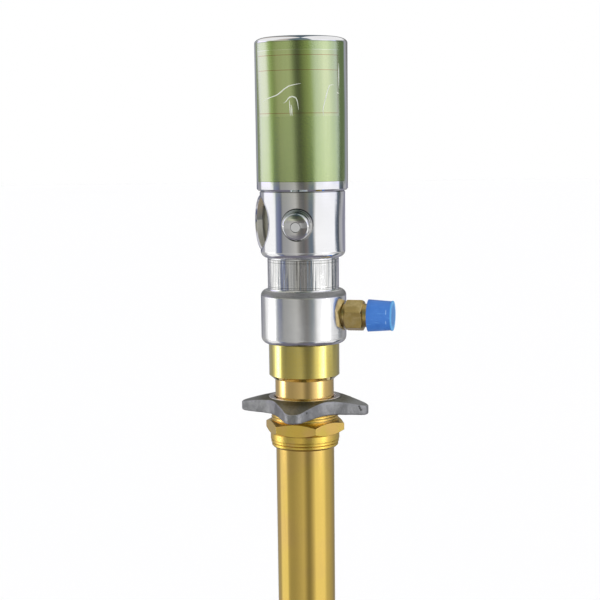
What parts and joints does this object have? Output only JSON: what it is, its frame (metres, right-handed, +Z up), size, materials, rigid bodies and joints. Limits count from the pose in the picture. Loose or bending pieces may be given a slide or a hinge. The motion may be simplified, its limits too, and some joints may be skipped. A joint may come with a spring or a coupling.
{
  "type": "air-operated oil pump",
  "caption": "Air-operated drum pump for oil: piston air motor on an outlet body, long suction tube with plunger and foot valve, and a sliding drum adapter clamped by a star nut.",
  "frame": {"origin": "on the pump's axis, at the underside of the drum adapter's hexagon, where the drum spigot begins", "axes": "+Z up along the pump's axis towards the air motor; the oil outlet points to +X, turned 13.4 degrees towards -Y, the side with the plug"},
  "size_m": [0.1168, 0.0964, 1.1932],
  "materials": {
    "chromed_shell": "bright chrome",
    "green_foil": "metallic foil, semi-gloss",
    "silver_foil": "slightly crinkled foil",
    "polished_aluminium": "polished",
    "turned_aluminium": "turned, satin",
    "chromed_plug": "bright chrome",
    "chromed_rod": "ground and chromed",
    "steel": "bright steel",
    "yellow_zinc": "yellow passivated zinc",
    "gold_zinc": "gold passivated zinc",
    "grey_iron": "rough cast, plated",
    "brass": "turned, satin",
    "bronze": "turned bronze",
    "sintered_bronze": "porous sintered bronze",
    "blue_plastic": "soft gloss",
    "black_rubber": "matte",
    "brown_packing": "matte, impregnated"
  },
  "bodies": {
    "adapter": {"adapter_body": "gold_zinc"},
    "pump": {"motor_shell": "chromed_shell", "shell_label": "green_foil", "cylinder_liner": "steel", "top_bumper": "black_rubber", "base_plate": "turned_aluminium", "base_screws": "steel", "base_bumper": "black_rubber", "rod_bush": "bronze", "rod_seal": "black_rubber", "shell_seal": "black_rubber", "valve_body": "polished_aluminium", "pilot_plug": "chromed_plug", "plug_washer": "bronze", "exhaust_silencer": "sintered_bronze", "silencer_ring": "steel", "air_inlet_bush": "brass", "neck_label": "silver_foil", "outlet_body": "turned_aluminium", "neck_seal": "black_rubber", "packing_washer": "steel", "rod_packing": "brown_packing", "gland_nut": "bronze", "outlet_nipple": "brass", "tube_coupling": "yellow_zinc", "coupling_seal": "black_rubber", "suction_tube": "gold_zinc", "pump_barrel": "steel", "foot_valve_body": "yellow_zinc", "ball_stop_pin": "steel", "foot_seal": "black_rubber", "strainer": "steel"},
    "clamp": {"clamp_ring": "steel"},
    "star": {"star_nut": "grey_iron"},
    "piston": {"air_piston": "turned_aluminium", "piston_seal": "black_rubber", "piston_nut": "steel", "piston_rod": "chromed_rod", "rod_sleeve": "steel", "sleeve_pins": "steel", "pump_rod": "steel", "plunger": "bronze", "plunger_seals": "black_rubber"},
    "spool": {"valve_spool": "chromed_rod", "spool_seals": "black_rubber"},
    "plunger_ball": {"plunger_ball": "chromed_rod"},
    "foot_ball": {"foot_ball": "chromed_rod"},
    "cap": {"protective_cap": "blue_plastic"}
  },
  "joints": [
    {"name": "height_slide", "type": "slide", "parent": "adapter", "child": "pump", "axis": [0, 0, 1], "range_m": [-0.01, 0.6]},
    {"name": "clamp_lift", "type": "slide", "parent": "adapter", "child": "clamp", "axis": [0, 0, 1], "range_m": [0, 0.002]},
    {"name": "star_turn", "type": "hinge", "parent": "clamp", "child": "star", "pos_m": [0, 0, 0.024], "axis": [0, 0, 1], "range_deg": [0, 360]},
    {"name": "piston_stroke", "type": "slide", "parent": "pump", "child": "piston", "axis": [0, 0, 1], "range_m": [0, 0.07]},
    {"name": "spool_shift", "type": "slide", "parent": "pump", "child": "spool", "axis": [0, 0, 1], "range_m": [0, 0.006]},
    {"name": "plunger_ball_lift", "type": "slide", "parent": "piston", "child": "plunger_ball", "axis": [0, 0, 1], "range_m": [0, 0.003]},
    {"name": "foot_ball_lift", "type": "slide", "parent": "pump", "child": "foot_ball", "axis": [0, 0, 1], "range_m": [0, 0.004]},
    {"name": "cap_pull", "type": "slide", "parent": "pump", "child": "cap", "axis": [0.9728, -0.2317, 0], "range_m": [0, 0.03]}
  ],
  "couplings": [
    {"joint": "clamp_lift", "follows": "star_turn", "m_per_rad": 0.000318}
  ]
}
